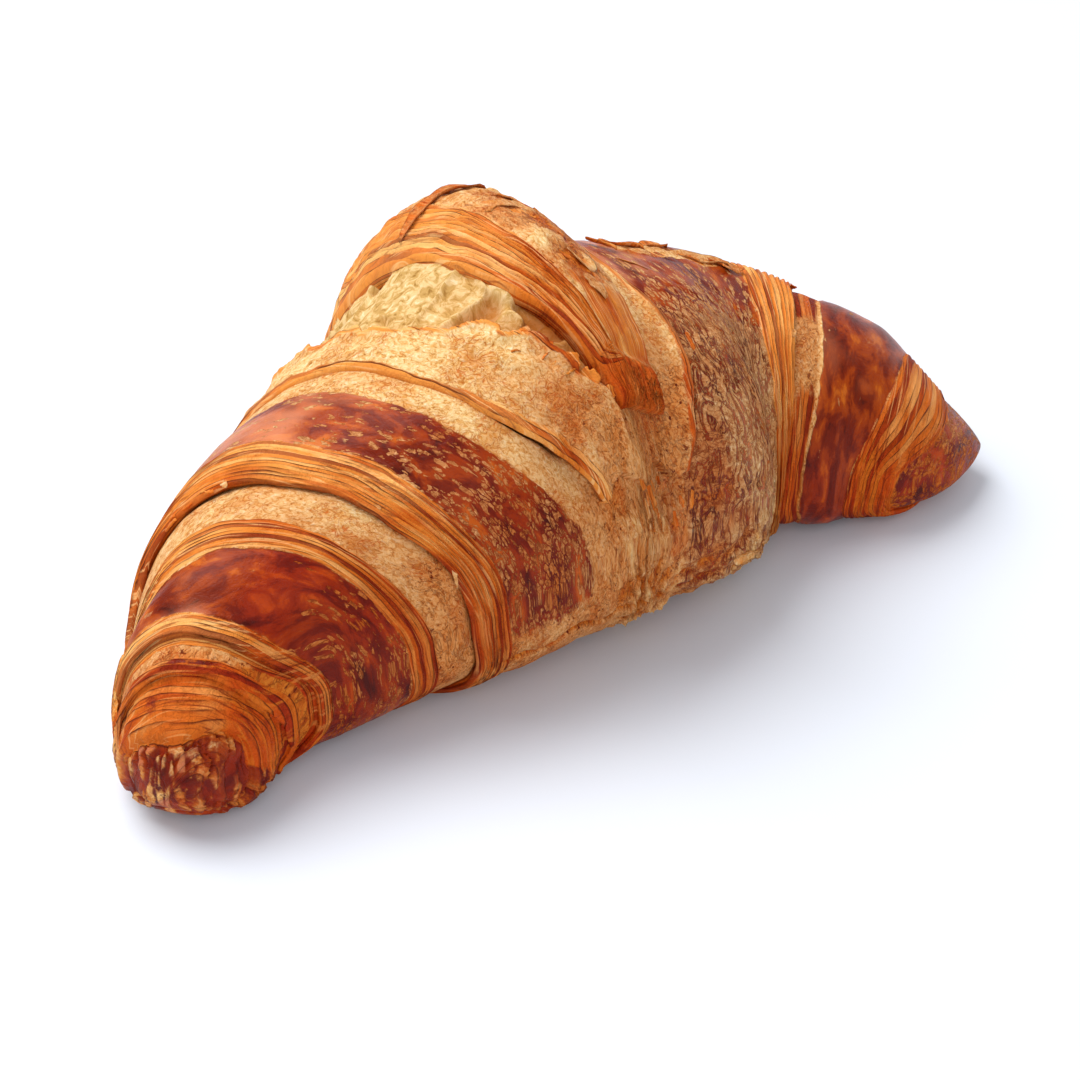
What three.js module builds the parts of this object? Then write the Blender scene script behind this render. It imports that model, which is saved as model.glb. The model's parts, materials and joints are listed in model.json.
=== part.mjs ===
// A butter croissant: one closed body, lofted along a bent spine, with the edge of every
// turn of the rolled dough standing up as a real step. Millimetres, +Z up, +X along the
// length, resting on z = 0. The camera side of the bend is -Y.
import * as THREE from "three";

// ---- the loaf as a whole
const HALF_LENGTH = 87.5;   // middle to either tip, measured straight
const BLUNT_TIP = 0.13;     // share of the half length that rounds off at the blunt end (-X)
const FINE_TIP = 0.2;       // the same at the finer end (+X)
const WEDGE_CURVE = 1.6;    // powers that make the finer end a wedge instead of a ball:
const WEDGE_POINT = 0.7;    // how early it narrows, and how sharp it ends
const AXIS_LEVEL = 0.42;    // the spine runs at this share of the height
const BAKED_FLAT = 0.8;     // how much the tray took off the underside
const ROUND_POWER = 0.9;    // below 1 a section is fuller than an ellipse
const BELLY_POWER = 0.6;    // the same for its lower half, which sagged on the tray
const FULL_RELIEF = 8;      // millimetres from the spine where steps reach their full height
const TUCK = 0.25;          // at a step, the two cross-sections pass each other by this much
const SLOPE_SPAN = 1e-3;    // share of the half length over which the bend is measured

// Cross-sections along the length: where (share of the half length), half the width, the
// height, and how far the spine is set back from the line between the tips.
const SECTIONS = [
  { at: -1.0, half: 12.5, high: 26, back: 0 },
  { at: -0.86, half: 14, high: 33.5, back: 10.5 },
  { at: -0.68, half: 21.5, high: 43, back: 19.5 },
  { at: -0.45, half: 28.5, high: 51, back: 24 },
  { at: -0.2, half: 34, high: 64, back: 25.5 },
  { at: 0.0, half: 39.5, high: 73.5, back: 27 },
  { at: 0.2, half: 36, high: 62, back: 25.5 },
  { at: 0.45, half: 28.5, high: 49.5, back: 25.5 },
  { at: 0.68, half: 20, high: 39, back: 16 },
  { at: 0.86, half: 16.5, high: 27, back: 6 },
  { at: 1.0, half: 15, high: 17.5, back: 0 },
];

// ---- the turns of dough, from the blunt tip to the fine one. `at` is where the edge of the
// turn crosses the crown, `tilt` how far it leans towards the middle at the front, `lobe` a
// bulge of the edge, `step` how far the turn stands above its neighbour nearer the tip, and
// `rows` the cross-sections up to the next edge.
const EDGES = [
  { name: "cap", at: -84.2, tilt: 0.8, step: 0.9, rows: 2 },
  { name: "fifth", at: -80.6, tilt: 1.2, lobe: 6.0, lobeAt: 105, step: 1.2, rows: 3 },
  { name: "fourth", at: -76.2, tilt: 1.8, lobe: 6.0, lobeAt: 95, step: 1.7, rows: 10 },
  { name: "third", at: -52.3, tilt: 11.5, step: 2.2, rows: 10 },
  { name: "second", at: -29.0, tilt: 12.5, step: 2.4, rows: 5 },
  { name: "split_low", at: -19.0, tilt: 10.5, lobe: -4.0, lobeAt: -28, rows: 3 },
  { name: "split_high", at: -9.0, tilt: 5.5, rows: 9 },
  { name: "flap_right", at: 13.0, tilt: -1.0, rows: 3 },
  { name: "second_right", at: 16.0, tilt: -2.0, lobe: 4.6, lobeAt: 34, step: 2.0, rows: 11 },
  { name: "third_right", at: 55.4, tilt: -2.7, step: 1.5, rows: 9 },
  { name: "fourth_right", at: 80.2, tilt: -2.5, lobe: -6.5, lobeAt: 98, step: 1.0, rows: 0 },
];
const LOBE_REACH = 34;      // degrees
const TIP_ROWS = 8;         // cross-sections in each rounded tip

// ---- the last two turns, which end as tongues on the front
const TONGUE_END = 83;      // degrees from the crown to the end of the second turn
const FLAP_END = 54;        // the same for the top flap
const FLAP_LIFT = 2.0;      // the flap stands this far above the turn below it
const SPLIT_DEPTH = 5.5;    // the burst beside the flap goes in this far
const SPLIT_FROM = -72;     // degrees, behind the crown
const SPLIT_TO = 50;        // degrees, on the front

// Columns round the body, closer together where the tongues end.
const COLUMNS = [
  { from: -54, to: 52, count: 20 }, { from: 52, to: 56, count: 1 },
  { from: 56, to: 81, count: 5 }, { from: 81, to: 85, count: 1 },
  { from: 85, to: 121, count: 6 }, { from: 121, to: 306, count: 15 },
];

const RAD = Math.PI / 180;
const clamp = (v, lo, hi) => Math.min(hi, Math.max(lo, v));
const ease = (a, b, v) => { const t = clamp((v - a) / (b - a), 0, 1); return t * t * (3 - 2 * t); };
const wrap = (deg) => ((deg + 180) % 360 + 360) % 360 - 180;

// A smooth curve through one column of the section table (cubic, slopes from the neighbours).
function along(key, u) {
  const n = SECTIONS.length;
  let i = 0;
  while (i < n - 2 && u > SECTIONS[i + 1].at) i++;
  const slope = (k) => {
    const a = SECTIONS[Math.max(0, k - 1)], b = SECTIONS[Math.min(n - 1, k + 1)];
    return (b[key] - a[key]) / (b.at - a.at);
  };
  const a = SECTIONS[i], b = SECTIONS[i + 1], h = b.at - a.at, t = (u - a.at) / h;
  return (1 + 2 * t) * (1 - t) ** 2 * a[key] + t * (1 - t) ** 2 * h * slope(i)
    + t * t * (3 - 2 * t) * b[key] + t * t * (t - 1) * h * slope(i + 1);
}

// The edges of a rolled triangle lean the same way all over the front and come back
// underneath, so one closed wave describes them all.
const lean = (deg) => (Math.sin(deg * RAD) - 0.2 * Math.sin(2 * deg * RAD)) / 0.6;

function edgeAt(edge, deg) {
  const lobe = edge.lobe ? edge.lobe * Math.exp(-(((wrap(deg) - edge.lobeAt) / LOBE_REACH) ** 2)) : 0;
  return edge.at + edge.tilt * lean(deg) + lobe;
}

// How far the dough stands off the smooth body. `band` counts the edges to the tip side,
// `t` runs from 0 at the edge nearer -X to 1 at the edge nearer +X.
function relief(band, t, deg) {
  const a = wrap(deg);
  const sides = 1 - ease(138, 166, Math.abs(a));          // the underside is pressed flat
  const left = band >= 0 ? EDGES[band] : null, right = EDGES[band + 1] || null;
  const tongue = 1 - ease(TONGUE_END - 2, TONGUE_END + 2, a);
  let off = 0;
  if (right && right.step && right.at < 0) {
    const fade = right.name === "second" ? tongue : 1;
    off -= right.step * fade * ease(0.35, 1, t);
  }
  if (left && left.step && left.at > 0) {
    const fade = left.name === "second_right" ? tongue : 1;
    off -= left.step * fade * ease(0.65, 0, t);
  }
  const inTongue = band >= 4 && band <= 7;
  if (inTongue) off -= (1 - tongue) * 2.0;
  if (inTongue) off += tongue * 0.4;
  if (band === 6) off += FLAP_LIFT * (1 - ease(FLAP_END - 2, FLAP_END + 2, a)) * ease(-170, -110, a);
  if (band === 5) {
    const open = ease(SPLIT_FROM, SPLIT_FROM + 30, a) * (1 - ease(SPLIT_TO - 14, SPLIT_TO, a));
    off -= SPLIT_DEPTH * open * (0.35 + 0.65 * ease(0, 0.8, t));
  }
  return off * sides;
}

// A point of the body: `x` along the chord before the section is turned square to the spine.
function surface(x, deg, off) {
  const u = clamp(x / HALF_LENGTH, -1, 1);
  const half = along("half", u), high = along("high", u), back = along("back", u);
  const d = SLOPE_SPAN;
  const bend = (along("back", clamp(u + d, -1, 1)) - along("back", clamp(u - d, -1, 1)))
    / ((clamp(u + d, -1, 1) - clamp(u - d, -1, 1)) * HALF_LENGTH);
  const l = 1 - clamp((u + 1) / BLUNT_TIP, 0, 1), r = 1 - clamp((1 - u) / FINE_TIP, 0, 1);
  const round = Math.sqrt(1 - l * l) * Math.pow(1 - Math.pow(r, WEDGE_CURVE), WEDGE_POINT);
  const s = Math.sin(deg * RAD), c = Math.cos(deg * RAD);
  let side = half * round * Math.sign(s) * Math.abs(s) ** ROUND_POWER;
  let up = high * round * (c > 0
    ? (1 - AXIS_LEVEL) * c ** ROUND_POWER : -AXIS_LEVEL * Math.abs(c) ** BELLY_POWER);
  const reach = Math.hypot(side, up);
  if (reach > 1e-6) {
    const grow = Math.max(0.1, (reach + off * Math.min(1, reach / FULL_RELIEF)) / reach);
    side *= grow;
    up *= grow;
  }
  const n = Math.hypot(1, bend);
  return new THREE.Vector3(
    u * HALF_LENGTH + side * bend / n,
    back - side / n,
    Math.max(0, high * AXIS_LEVEL + up - BAKED_FLAT));
}

function columnAngles() {
  const out = [];
  for (const seg of COLUMNS) {
    for (let i = 0; i < seg.count; i++) out.push(seg.from + (seg.to - seg.from) * i / seg.count);
  }
  return out;
}

// Every cross-section as { band, t, x(deg) }. Two cross-sections meet at a step, one on the
// upper turn and one tucked half a millimetre under it.
function crossSections() {
  const rows = [];
  const push = (band, t, x) => rows.push({ band, t, x });
  const first = EDGES[0], last = EDGES[EDGES.length - 1], top = EDGES.length - 1;
  for (let i = 1; i <= TIP_ROWS; i++) {
    const t = 1 - Math.cos(Math.PI / 2 * i / TIP_ROWS);
    push(-1, t, (deg) => -HALF_LENGTH + (edgeAt(first, deg) + HALF_LENGTH) * t);
  }
  for (let k = 0; k < top; k++) {
    const a = EDGES[k], b = EDGES[k + 1];
    for (let i = 0; i <= a.rows; i++) {
      const t = i / a.rows;
      const tuck = i === 0 ? TUCK : i === a.rows ? -TUCK : 0;
      push(k, t, (deg) => edgeAt(a, deg) + (edgeAt(b, deg) - edgeAt(a, deg)) * t + tuck);
    }
  }
  for (let i = TIP_ROWS; i >= 1; i--) {
    const t = 1 - Math.cos(Math.PI / 2 * i / TIP_ROWS);
    push(top, 1 - t, (deg) => HALF_LENGTH - (HALF_LENGTH - edgeAt(last, deg)) * t);
  }
  return rows;
}

function croissant() {
  const angles = columnAngles(), rows = crossSections(), n = angles.length;
  const points = [surface(-HALF_LENGTH, 0, 0)];
  for (const row of rows) {
    for (const deg of angles) points.push(surface(row.x(deg), deg, relief(row.band, row.t, deg)));
  }
  points.push(surface(HALF_LENGTH, 0, 0));
  const index = [];
  const at = (r, j) => 1 + r * n + (j % n);
  for (let j = 0; j < n; j++) {
    index.push(0, at(0, j + 1), at(0, j));
    for (let r = 0; r < rows.length - 1; r++) {
      index.push(at(r, j), at(r + 1, j + 1), at(r + 1, j), at(r, j), at(r, j + 1), at(r + 1, j + 1));
    }
    index.push(points.length - 1, at(rows.length - 1, j), at(rows.length - 1, j + 1));
  }
  const box = new THREE.Box3().setFromPoints(points), mid = box.getCenter(new THREE.Vector3());
  const flat = [];
  for (const p of points) flat.push(p.x - mid.x, p.y - mid.y, p.z);
  const geometry = new THREE.BufferGeometry();
  geometry.setAttribute("position", new THREE.Float32BufferAttribute(flat, 3));
  geometry.setIndex(index);
  geometry.computeVertexNormals();
  return geometry;
}

const crust = new THREE.MeshStandardMaterial({ color: 0xb5652a, roughness: 0.5, metalness: 0 });
const body = new THREE.Mesh(croissant(), crust);
body.name = "croissant";

const group = new THREE.Group();
group.name = "butter_croissant";
group.add(body);
export default group;
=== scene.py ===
# %% [markdown]
# # A butter croissant, turn by turn
# A croissant is a thin triangle of laminated dough rolled up from its wide end. Each turn of the roll
# ends in a cut edge, and the turns get shorter, so the edges stand on the body as steps. The part
# holds the true body as one closed solid. Here the same body is modelled again with its finish:
# every turn is a piece of its own, with a lip that hangs over the next one.

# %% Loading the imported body
import json
import math

import bmesh
import bpy
import numpy as np
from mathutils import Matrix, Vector

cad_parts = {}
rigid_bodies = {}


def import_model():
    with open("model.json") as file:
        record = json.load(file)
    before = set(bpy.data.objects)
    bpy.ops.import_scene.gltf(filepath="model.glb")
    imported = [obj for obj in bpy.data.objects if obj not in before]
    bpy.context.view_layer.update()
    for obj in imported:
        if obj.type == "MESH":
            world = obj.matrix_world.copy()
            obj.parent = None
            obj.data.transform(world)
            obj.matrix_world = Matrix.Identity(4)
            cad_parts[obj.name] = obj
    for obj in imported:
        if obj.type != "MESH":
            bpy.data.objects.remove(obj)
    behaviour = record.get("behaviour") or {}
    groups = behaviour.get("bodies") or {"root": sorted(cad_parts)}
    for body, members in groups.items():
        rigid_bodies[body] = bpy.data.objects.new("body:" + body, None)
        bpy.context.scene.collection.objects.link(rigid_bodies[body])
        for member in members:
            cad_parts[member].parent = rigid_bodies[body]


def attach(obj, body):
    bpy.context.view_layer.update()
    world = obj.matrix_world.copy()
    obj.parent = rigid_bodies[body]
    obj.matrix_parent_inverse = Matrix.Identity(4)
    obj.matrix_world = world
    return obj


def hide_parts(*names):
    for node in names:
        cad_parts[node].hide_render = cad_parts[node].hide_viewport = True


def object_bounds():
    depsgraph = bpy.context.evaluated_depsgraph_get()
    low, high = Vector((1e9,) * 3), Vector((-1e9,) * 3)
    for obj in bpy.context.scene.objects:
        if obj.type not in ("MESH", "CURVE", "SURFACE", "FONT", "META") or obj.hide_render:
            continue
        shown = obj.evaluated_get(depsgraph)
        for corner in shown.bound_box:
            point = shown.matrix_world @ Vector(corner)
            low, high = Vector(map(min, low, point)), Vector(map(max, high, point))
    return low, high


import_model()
cad_low, cad_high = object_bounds()
print("body:", [round(v * 1000, 1) for v in cad_high - cad_low], "mm")

# %% [markdown]
# ## The smooth body
# A lathe or a plain tube can't bend and swell like this, so the body is a loft: a few sections along
# the length with a width, a height and a set-back, joined by a cubic. Every point of the croissant is
# then named by three numbers: `x` along the length, `deg` round the body (0 on the crown, 90 on the
# front) and `off`, the distance that it stands out. All three are in millimetres and degrees, and a
# ridge, a lip or a wrinkle is only a change of `off`.

# %% The sections and the loft
MM = 0.001
HALF_LENGTH = 87.5
BLUNT_TIP, FINE_TIP = 0.13, 0.2
WEDGE_CURVE, WEDGE_POINT = 1.6, 0.7
AXIS_LEVEL = 0.42
BAKED_FLAT = 0.8
# Powers of the cross-section: a little squarer than an ellipse, and flatter below.
ROUND_POWER, BELLY_POWER = 0.9, 0.6
# Near the axis an offset fades out, within this many millimetres.
FULL_RELIEF = 8
SLOPE_SPAN = 0.001
SECTIONS = np.array([
    # share of the half length, half width, height, set-back
    (-1.0, 12.5, 26.0, 0.0),
    (-0.86, 14.0, 33.5, 10.5),
    (-0.68, 21.5, 43.0, 19.5),
    (-0.45, 28.5, 51.0, 24.0),
    (-0.2, 34.0, 64.0, 25.5),
    (0.0, 39.5, 73.5, 27.0),
    (0.2, 36.0, 62.0, 25.5),
    (0.45, 28.5, 49.5, 25.5),
    (0.68, 20.0, 39.0, 16.0),
    (0.86, 16.5, 27.0, 6.0),
    (1.0, 15.0, 17.5, 0.0),
])
WIDTH, HEIGHT, SET_BACK = 1, 2, 3


def along(column, u):
    """A smooth curve through one column of the sections."""
    at, v = SECTIONS[:, 0], SECTIONS[:, column]
    k = np.arange(len(at))
    lo, hi = np.maximum(k - 1, 0), np.minimum(k + 1, len(at) - 1)
    slope = (v[hi] - v[lo]) / (at[hi] - at[lo])
    i = np.clip(np.searchsorted(at, u, side="right") - 1, 0, len(at) - 2)
    h = at[i + 1] - at[i]
    t = (u - at[i]) / h
    ends = v[i] * (1 + 2 * t) * (1 - t) ** 2 + v[i + 1] * t * t * (3 - 2 * t)
    return ends + h * (slope[i] * t * (1 - t) ** 2 + slope[i + 1] * t * t * (t - 1))


def tip_share(u):
    """1 along the body, and down to 0 at the tips: the left one is round, the right one a wedge."""
    left = 1 - np.clip((u + 1) / BLUNT_TIP, 0, 1)
    right = 1 - np.clip((1 - u) / FINE_TIP, 0, 1)
    return np.sqrt(1 - left ** 2) * (1 - right ** WEDGE_CURVE) ** WEDGE_POINT


def body_point(x, deg, off):
    """Millimetres, before the body is centred. A huge negative off gives the axis."""
    u = np.clip(x / HALF_LENGTH, -1, 1)
    half, high, back = along(WIDTH, u), along(HEIGHT, u), along(SET_BACK, u)
    ahead, behind = np.clip(u + SLOPE_SPAN, -1, 1), np.clip(u - SLOPE_SPAN, -1, 1)
    bend = (along(SET_BACK, ahead) - along(SET_BACK, behind)) / ((ahead - behind) * HALF_LENGTH)
    tip = tip_share(u)
    s, c = np.sin(np.radians(deg)), np.cos(np.radians(deg))
    side = half * tip * np.sign(s) * np.abs(s) ** ROUND_POWER
    above, below = (1 - AXIS_LEVEL) * np.abs(c) ** ROUND_POWER, -AXIS_LEVEL * np.abs(c) ** BELLY_POWER
    up = high * tip * np.where(c > 0, above, below)
    reach = np.maximum(np.hypot(side, up), 1e-6)
    grow = np.maximum(0, 1 + off * np.minimum(1, reach / FULL_RELIEF) / reach)
    side, up = side * grow, up * grow
    n = np.hypot(1, bend)
    z = np.maximum(0, high * AXIS_LEVEL + up - BAKED_FLAT)
    return np.stack([u * HALF_LENGTH + side * bend / n, back - side / n, z], axis=-1)


grid_x, grid_deg = np.meshgrid(np.linspace(-HALF_LENGTH, HALF_LENGTH, 200), np.arange(0, 360, 3))
smooth = body_point(grid_x, grid_deg, np.zeros_like(grid_x)).reshape(-1, 3)
middle = (smooth.min(axis=0) + smooth.max(axis=0)) / 2
cad_middle = (cad_low + cad_high) / 2 / MM
CENTRE = np.array([middle[0] - cad_middle[0], middle[1] - cad_middle[1], 0.0])
print("smooth body:", np.round(smooth.max(axis=0) - smooth.min(axis=0), 1), "mm")

# %% [markdown]
# ## Unevenness
# Dough is never regular. Blender's noise works one point at a time, which is slow on a million
# vertices, so this is the same idea on whole arrays: a value for every cell corner of a lattice,
# mixed smoothly in between. The seed makes each use different and each run the same.

# %% Smooth noise on arrays
CELL_PRIMES = (374761393, 668265263, 974711)
SEED_FACTOR, MIX_FACTOR = 144665, 1274126177
LOW_32_BITS, LOW_16_BITS = 0xFFFFFFFF, 0xFFFF


def corner_value(cell, seed):
    """A fixed random value from 0 to 1 for every corner of the lattice."""
    n = sum(cell[..., axis] * prime for axis, prime in enumerate(CELL_PRIMES)) + seed * SEED_FACTOR
    n = (n ^ (n >> 13)) & LOW_32_BITS
    n = (n * MIX_FACTOR) & LOW_32_BITS
    return ((n ^ (n >> 16)) & LOW_16_BITS) / LOW_16_BITS


def lumps(p, size, seed, octaves=1):
    """Noise from -1 to 1 with features of about size millimetres; size may differ by axis."""
    total, weight = 0.0, 0.0
    for k in range(octaves):
        q = p / (np.asarray(size, float) / 2 ** k)
        cell = np.floor(q).astype(np.int64)
        f = q - cell
        f = f * f * (3 - 2 * f)
        value = 0.0
        for corner in range(8):
            step = np.array([corner & 1, corner >> 1 & 1, corner >> 2 & 1])
            share = np.prod(np.where(step == 1, f, 1 - f), axis=-1)
            value = value + share * corner_value(cell + step, seed + 31 * k)
        total = total + (value * 2 - 1) / 2 ** k
        weight += 1 / 2 ** k
    return total / weight


def ease(a, b, v):
    """0 up to a, 1 from b on, and smooth in between; a may be the greater one."""
    t = np.clip((v - a) / (b - a), 0, 1)
    return t * t * (3 - 2 * t)


def bump_at(v, centre, reach):
    """1 at the centre, and a smooth fall to 0 on both sides."""
    return np.exp(-((v - centre) / reach) ** 2)


# %% [markdown]
# ## The edges of the turns
# The long sides of the dough triangle lie on the body as slanting rings: further out at the back,
# nearer the middle on the front. One closed wave gives them all that lean, and a lobe lets an edge
# swell where the dough did. A little noise lets each line wander, as torn dough does. The same kind of
# line also marks where the egg wash starts and stops.

# %% Rings round the body
LOBE_REACH = 34.0
TIP_STARTS, TIP_CALM = 70, 0.35


def wrap(deg):
    """The same angle, from -180 to 180."""
    return (np.asarray(deg) + 180.0) % 360.0 - 180.0


def lean(deg):
    """The wave that every edge follows: 0 on the crown, and opposite in front and behind."""
    return (np.sin(np.radians(deg)) - 0.2 * np.sin(2 * np.radians(deg))) / 0.6


TILT_AT = [-87, -78, -64, -30, -19, -5, 10, 50, 60, 87]
TILT = [1, 2, 10.3, 12, 10, 5, -1, 0, -3, -3]


def unrolled(x, deg):
    """Places on a straight roll, with the lean of the turns taken out, so noise runs as they do."""
    along_roll = x - np.interp(x, TILT_AT, TILT) * lean(deg)
    u = np.clip(x / HALF_LENGTH, -1, 1)
    radius = (0.5 * along(WIDTH, u) + 0.29 * along(HEIGHT, u)) * tip_share(u)
    t = np.radians(deg)
    return np.stack([along_roll, radius * np.sin(t), radius * np.cos(t)], axis=-1)


def ring(at, tilt, lobe=0.0, lobe_at=0.0):
    """A line round the body: where it crosses the crown, and how far it leans to the middle."""
    calm = TIP_CALM if abs(at) > TIP_STARTS else 1.0

    def line(deg):
        place = unrolled(at + 0.0 * deg, deg)
        wander = (0.55 * lumps(place, (14, 9, 9), 7) + 0.22 * lumps(place, (6, 3, 3), 8)) * calm
        return at + tilt * lean(deg) + lobe * bump_at(wrap(deg), lobe_at, LOBE_REACH) + wander
    return line


def cap_line(deg):
    """The knob's edge dips towards the front, so it isn't a plain ring."""
    s = np.sin(np.radians(deg))
    return ring(-85.6, 0.0)(deg) + np.where(s > 0, 4.8, 1.0) * s * s


EDGE = {
    "cap": cap_line,
    "fifth": ring(-80.6, 1.2, 6.0, 105),
    "fourth_wash": ring(-78.6, 1.8, 5.5, 95),
    "fourth": ring(-76.2, 1.8, 6.0, 95),
    "third_layers": ring(-73.6, 1.8, 6.0, 95),
    "third_wash": ring(-64.5, 10.3),
    "third_pale": ring(-59.2, 10.5),
    "third": ring(-52.3, 11.5),
    "second_layers": ring(-44.0, 10.5),
    "second_wash": ring(-33.3, 12.0),
    "second": ring(-29.0, 12.5),
    "split_low": ring(-18.5, 10.5, -4.5, -30),
    "split_high": ring(-9.0, 5.5, -1.5, -45),
    "flap_layers": ring(-2.5, 3.5),
    "flap_right": ring(13.5, -1.5),
    "right_second": ring(16.0, -2.0, 4.6, 34),
    "right_layers": ring(47.8, 0.6),
    "right_third": ring(55.4, -2.7),
    "right_wash": ring(59.6, -3.2),
    "right_third_layers": ring(72.8, -4.5, -2.5, 105),
    "right_fourth": ring(80.2, -2.5, -6.5, 98),
}

# %% [markdown]
# ## Rolling a grid into a turn
# Each piece starts as a flat grid from `bmesh.ops.create_grid`. Its rows are laid along the edges of
# the turns and its columns run round the body, so a lip stays one clean line of edges. Then every
# vertex is moved to its place, the seam and the poles are welded shut, and the normals are made to
# point outwards. What the finish needs to know, such as where the egg wash lies, is written on the
# vertices as attributes.

# %% The grid, the weld and the attributes
AXIS, NEAR_AXIS = -1000.0, -20
FIELDS = ("wash", "cut", "ply", "fleck", "toast_and_shade")
WELD = 1e-7


def columns(fine, coarse):
    """Angles once round: close together over the crown and the front, wider behind."""
    near = np.linspace(-75, 125, fine, endpoint=False)
    return np.concatenate([near, np.linspace(125, 285, coarse)])


def skin(name, grids, material):
    """One piece from grids of x, deg, off and fields. Each grid closes into a skin of its own."""
    bm = bmesh.new()
    for x, deg, off, fields in grids:
        bmesh.ops.create_grid(bm, x_segments=x.shape[0] - 1, y_segments=x.shape[1] - 1, size=1)
    mesh = bpy.data.meshes.new(name)
    bm.to_mesh(mesh)
    bm.free()
    flat = np.empty(len(mesh.vertices) * 3)
    mesh.vertices.foreach_get("co", flat)
    place = flat.reshape(-1, 3)
    lay = np.empty_like(place)
    values = {field: np.empty(len(place)) for field in FIELDS}
    first = 0
    for x, deg, off, fields in grids:
        own = slice(first, first + x.size)
        i = np.rint((place[own, 0] + 1) / 2 * (x.shape[0] - 1)).astype(int)
        j = np.rint((place[own, 1] + 1) / 2 * (x.shape[1] - 1)).astype(int)
        place[own] = ((body_point(x, deg, off) - CENTRE) * MM)[i, j]
        lay[own] = unrolled(x, deg)[i, j]
        for field in FIELDS:
            values[field][own] = np.broadcast_to(fields.get(field, 0.0), x.shape)[i, j]
        first += x.size
    mesh.vertices.foreach_set("co", place.ravel())
    for field in FIELDS:
        layer = mesh.attributes.new(field, "FLOAT", "POINT")
        layer.data.foreach_set("value", values[field].astype(np.float32))
    layer = mesh.attributes.new("dough", "FLOAT_VECTOR", "POINT")
    layer.data.foreach_set("vector", lay.ravel().astype(np.float32))
    bm = bmesh.new()
    bm.from_mesh(mesh)
    bmesh.ops.remove_doubles(bm, verts=bm.verts, dist=WELD)
    bmesh.ops.recalc_face_normals(bm, faces=bm.faces)
    open_edges = sum(not e.is_manifold for e in bm.edges)
    bm.to_mesh(mesh)
    bm.free()
    return finish_piece(name, mesh, material, open_edges)


def finish_piece(name, mesh, material, open_edges):
    mesh.shade_smooth()
    mesh.materials.append(material)
    piece = bpy.data.objects.new(name, mesh)
    bpy.context.scene.collection.objects.link(piece)
    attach(piece, "root")
    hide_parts("croissant")
    triangles = sum(len(p.vertices) - 2 for p in mesh.polygons)
    print(f"{name}: {triangles} triangles, {open_edges} open edges")
    return piece


# %% [markdown]
# ## From knots to rows
# A turn is described by knots: a line round the body, a shift from it, how far the dough stands out
# there, how many rows lead to the next knot, and how much the dough swells on the way. A lip is three
# or four knots that go over the edge and back underneath it.

# %% Rows through the knots
def level(value, deg):
    """A line or a plain number, as one value for every angle."""
    return value(deg) if callable(value) else np.full(deg.shape, float(value))


def rows_through(knots, angles):
    """x, deg and off for every row and column."""
    xs, offs = [], []
    for a, b in zip(knots, knots[1:]):
        line_a, shift_a, off_a, count, swell = a
        line_b, shift_b, off_b = b[:3]
        xa, xb = level(line_a, angles) + shift_a, level(line_b, angles) + shift_b
        oa, ob = level(off_a, angles), level(off_b, angles)
        for k in range(count):
            t = k / count
            xs.append(xa + (xb - xa) * t)
            offs.append(oa + (ob - oa) * t + swell * math.sin(math.pi * t))
    last = knots[-1]
    xs.append(level(last[0], angles) + last[1])
    offs.append(level(last[2], angles))
    x, off = np.array(xs), np.array(offs)
    return x, np.broadcast_to(angles, x.shape), off


def sides_only(deg):
    """1 over the crown and the sides, 0 on the underside that the tray pressed flat."""
    return 1 - ease(135, 163, np.abs(wrap(deg)))


def roughened(off, relief, deg):
    """The relief goes on the sides only, and never on the rows that close on the axis."""
    return off + relief * sides_only(deg) * (off > NEAR_AXIS)


def round_tip(x, off, angles, tip_x, step, count, swell):
    """More rows, from just beyond the last one to the tip, and closer together as they near it."""
    turn = np.linspace(0, math.pi / 2, count + 1)[1:, None]
    start = x[-1] + step
    tip_rows = start + (tip_x - start) * np.sin(turn)
    tip_off = -0.9 + swell * np.sin(turn * 2) + 0 * tip_rows
    tip_off[-1] = AXIS
    x = np.vstack([x, tip_rows])
    return x, np.broadcast_to(angles, x.shape), np.vstack([off, tip_off])


def between(x, low, high, soft=0.8):
    """1 where x lies between two lines, with soft ends in millimetres."""
    return ease(-soft, soft, x - low) * ease(-soft, soft, high - x)


def plies(x, deg, low, high, count, seed):
    """The number of dough sheets crossed on the way from low to high, a little uneven."""
    width = high - low
    share = (x - low) / np.where(np.abs(width) < 0.5, np.sign(width) * 0.5, width)
    p = unrolled(x, deg)
    drift = lumps(p, (7, 34, 34), seed) * 0.9 + lumps(p, (1.6, 14, 14), seed + 1) * 0.4
    return share * count + drift


def shingle(ply):
    """Height of a stack of sheet edges, 0 to 1: each rises slowly and ends abruptly."""
    f = ply - np.floor(ply)
    return ease(0, 0.75, f) * (1 - ease(0.82, 1.0, f))


# %% [markdown]
# ## The second turn
# This is the barrel in the middle: everything between the strong edge on the left and the one on the
# right of the pale turn. On the left it carries, from its edge inwards, a fan of cut layers, the dark
# washed band and a pale strip that the next turn sheltered in the oven. On the right the washed band
# comes first: it peels in long scales towards the front, and on the shoulder it has crumbled open. The
# belly, which shows below the pale tongue, is folded and cracked.

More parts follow.
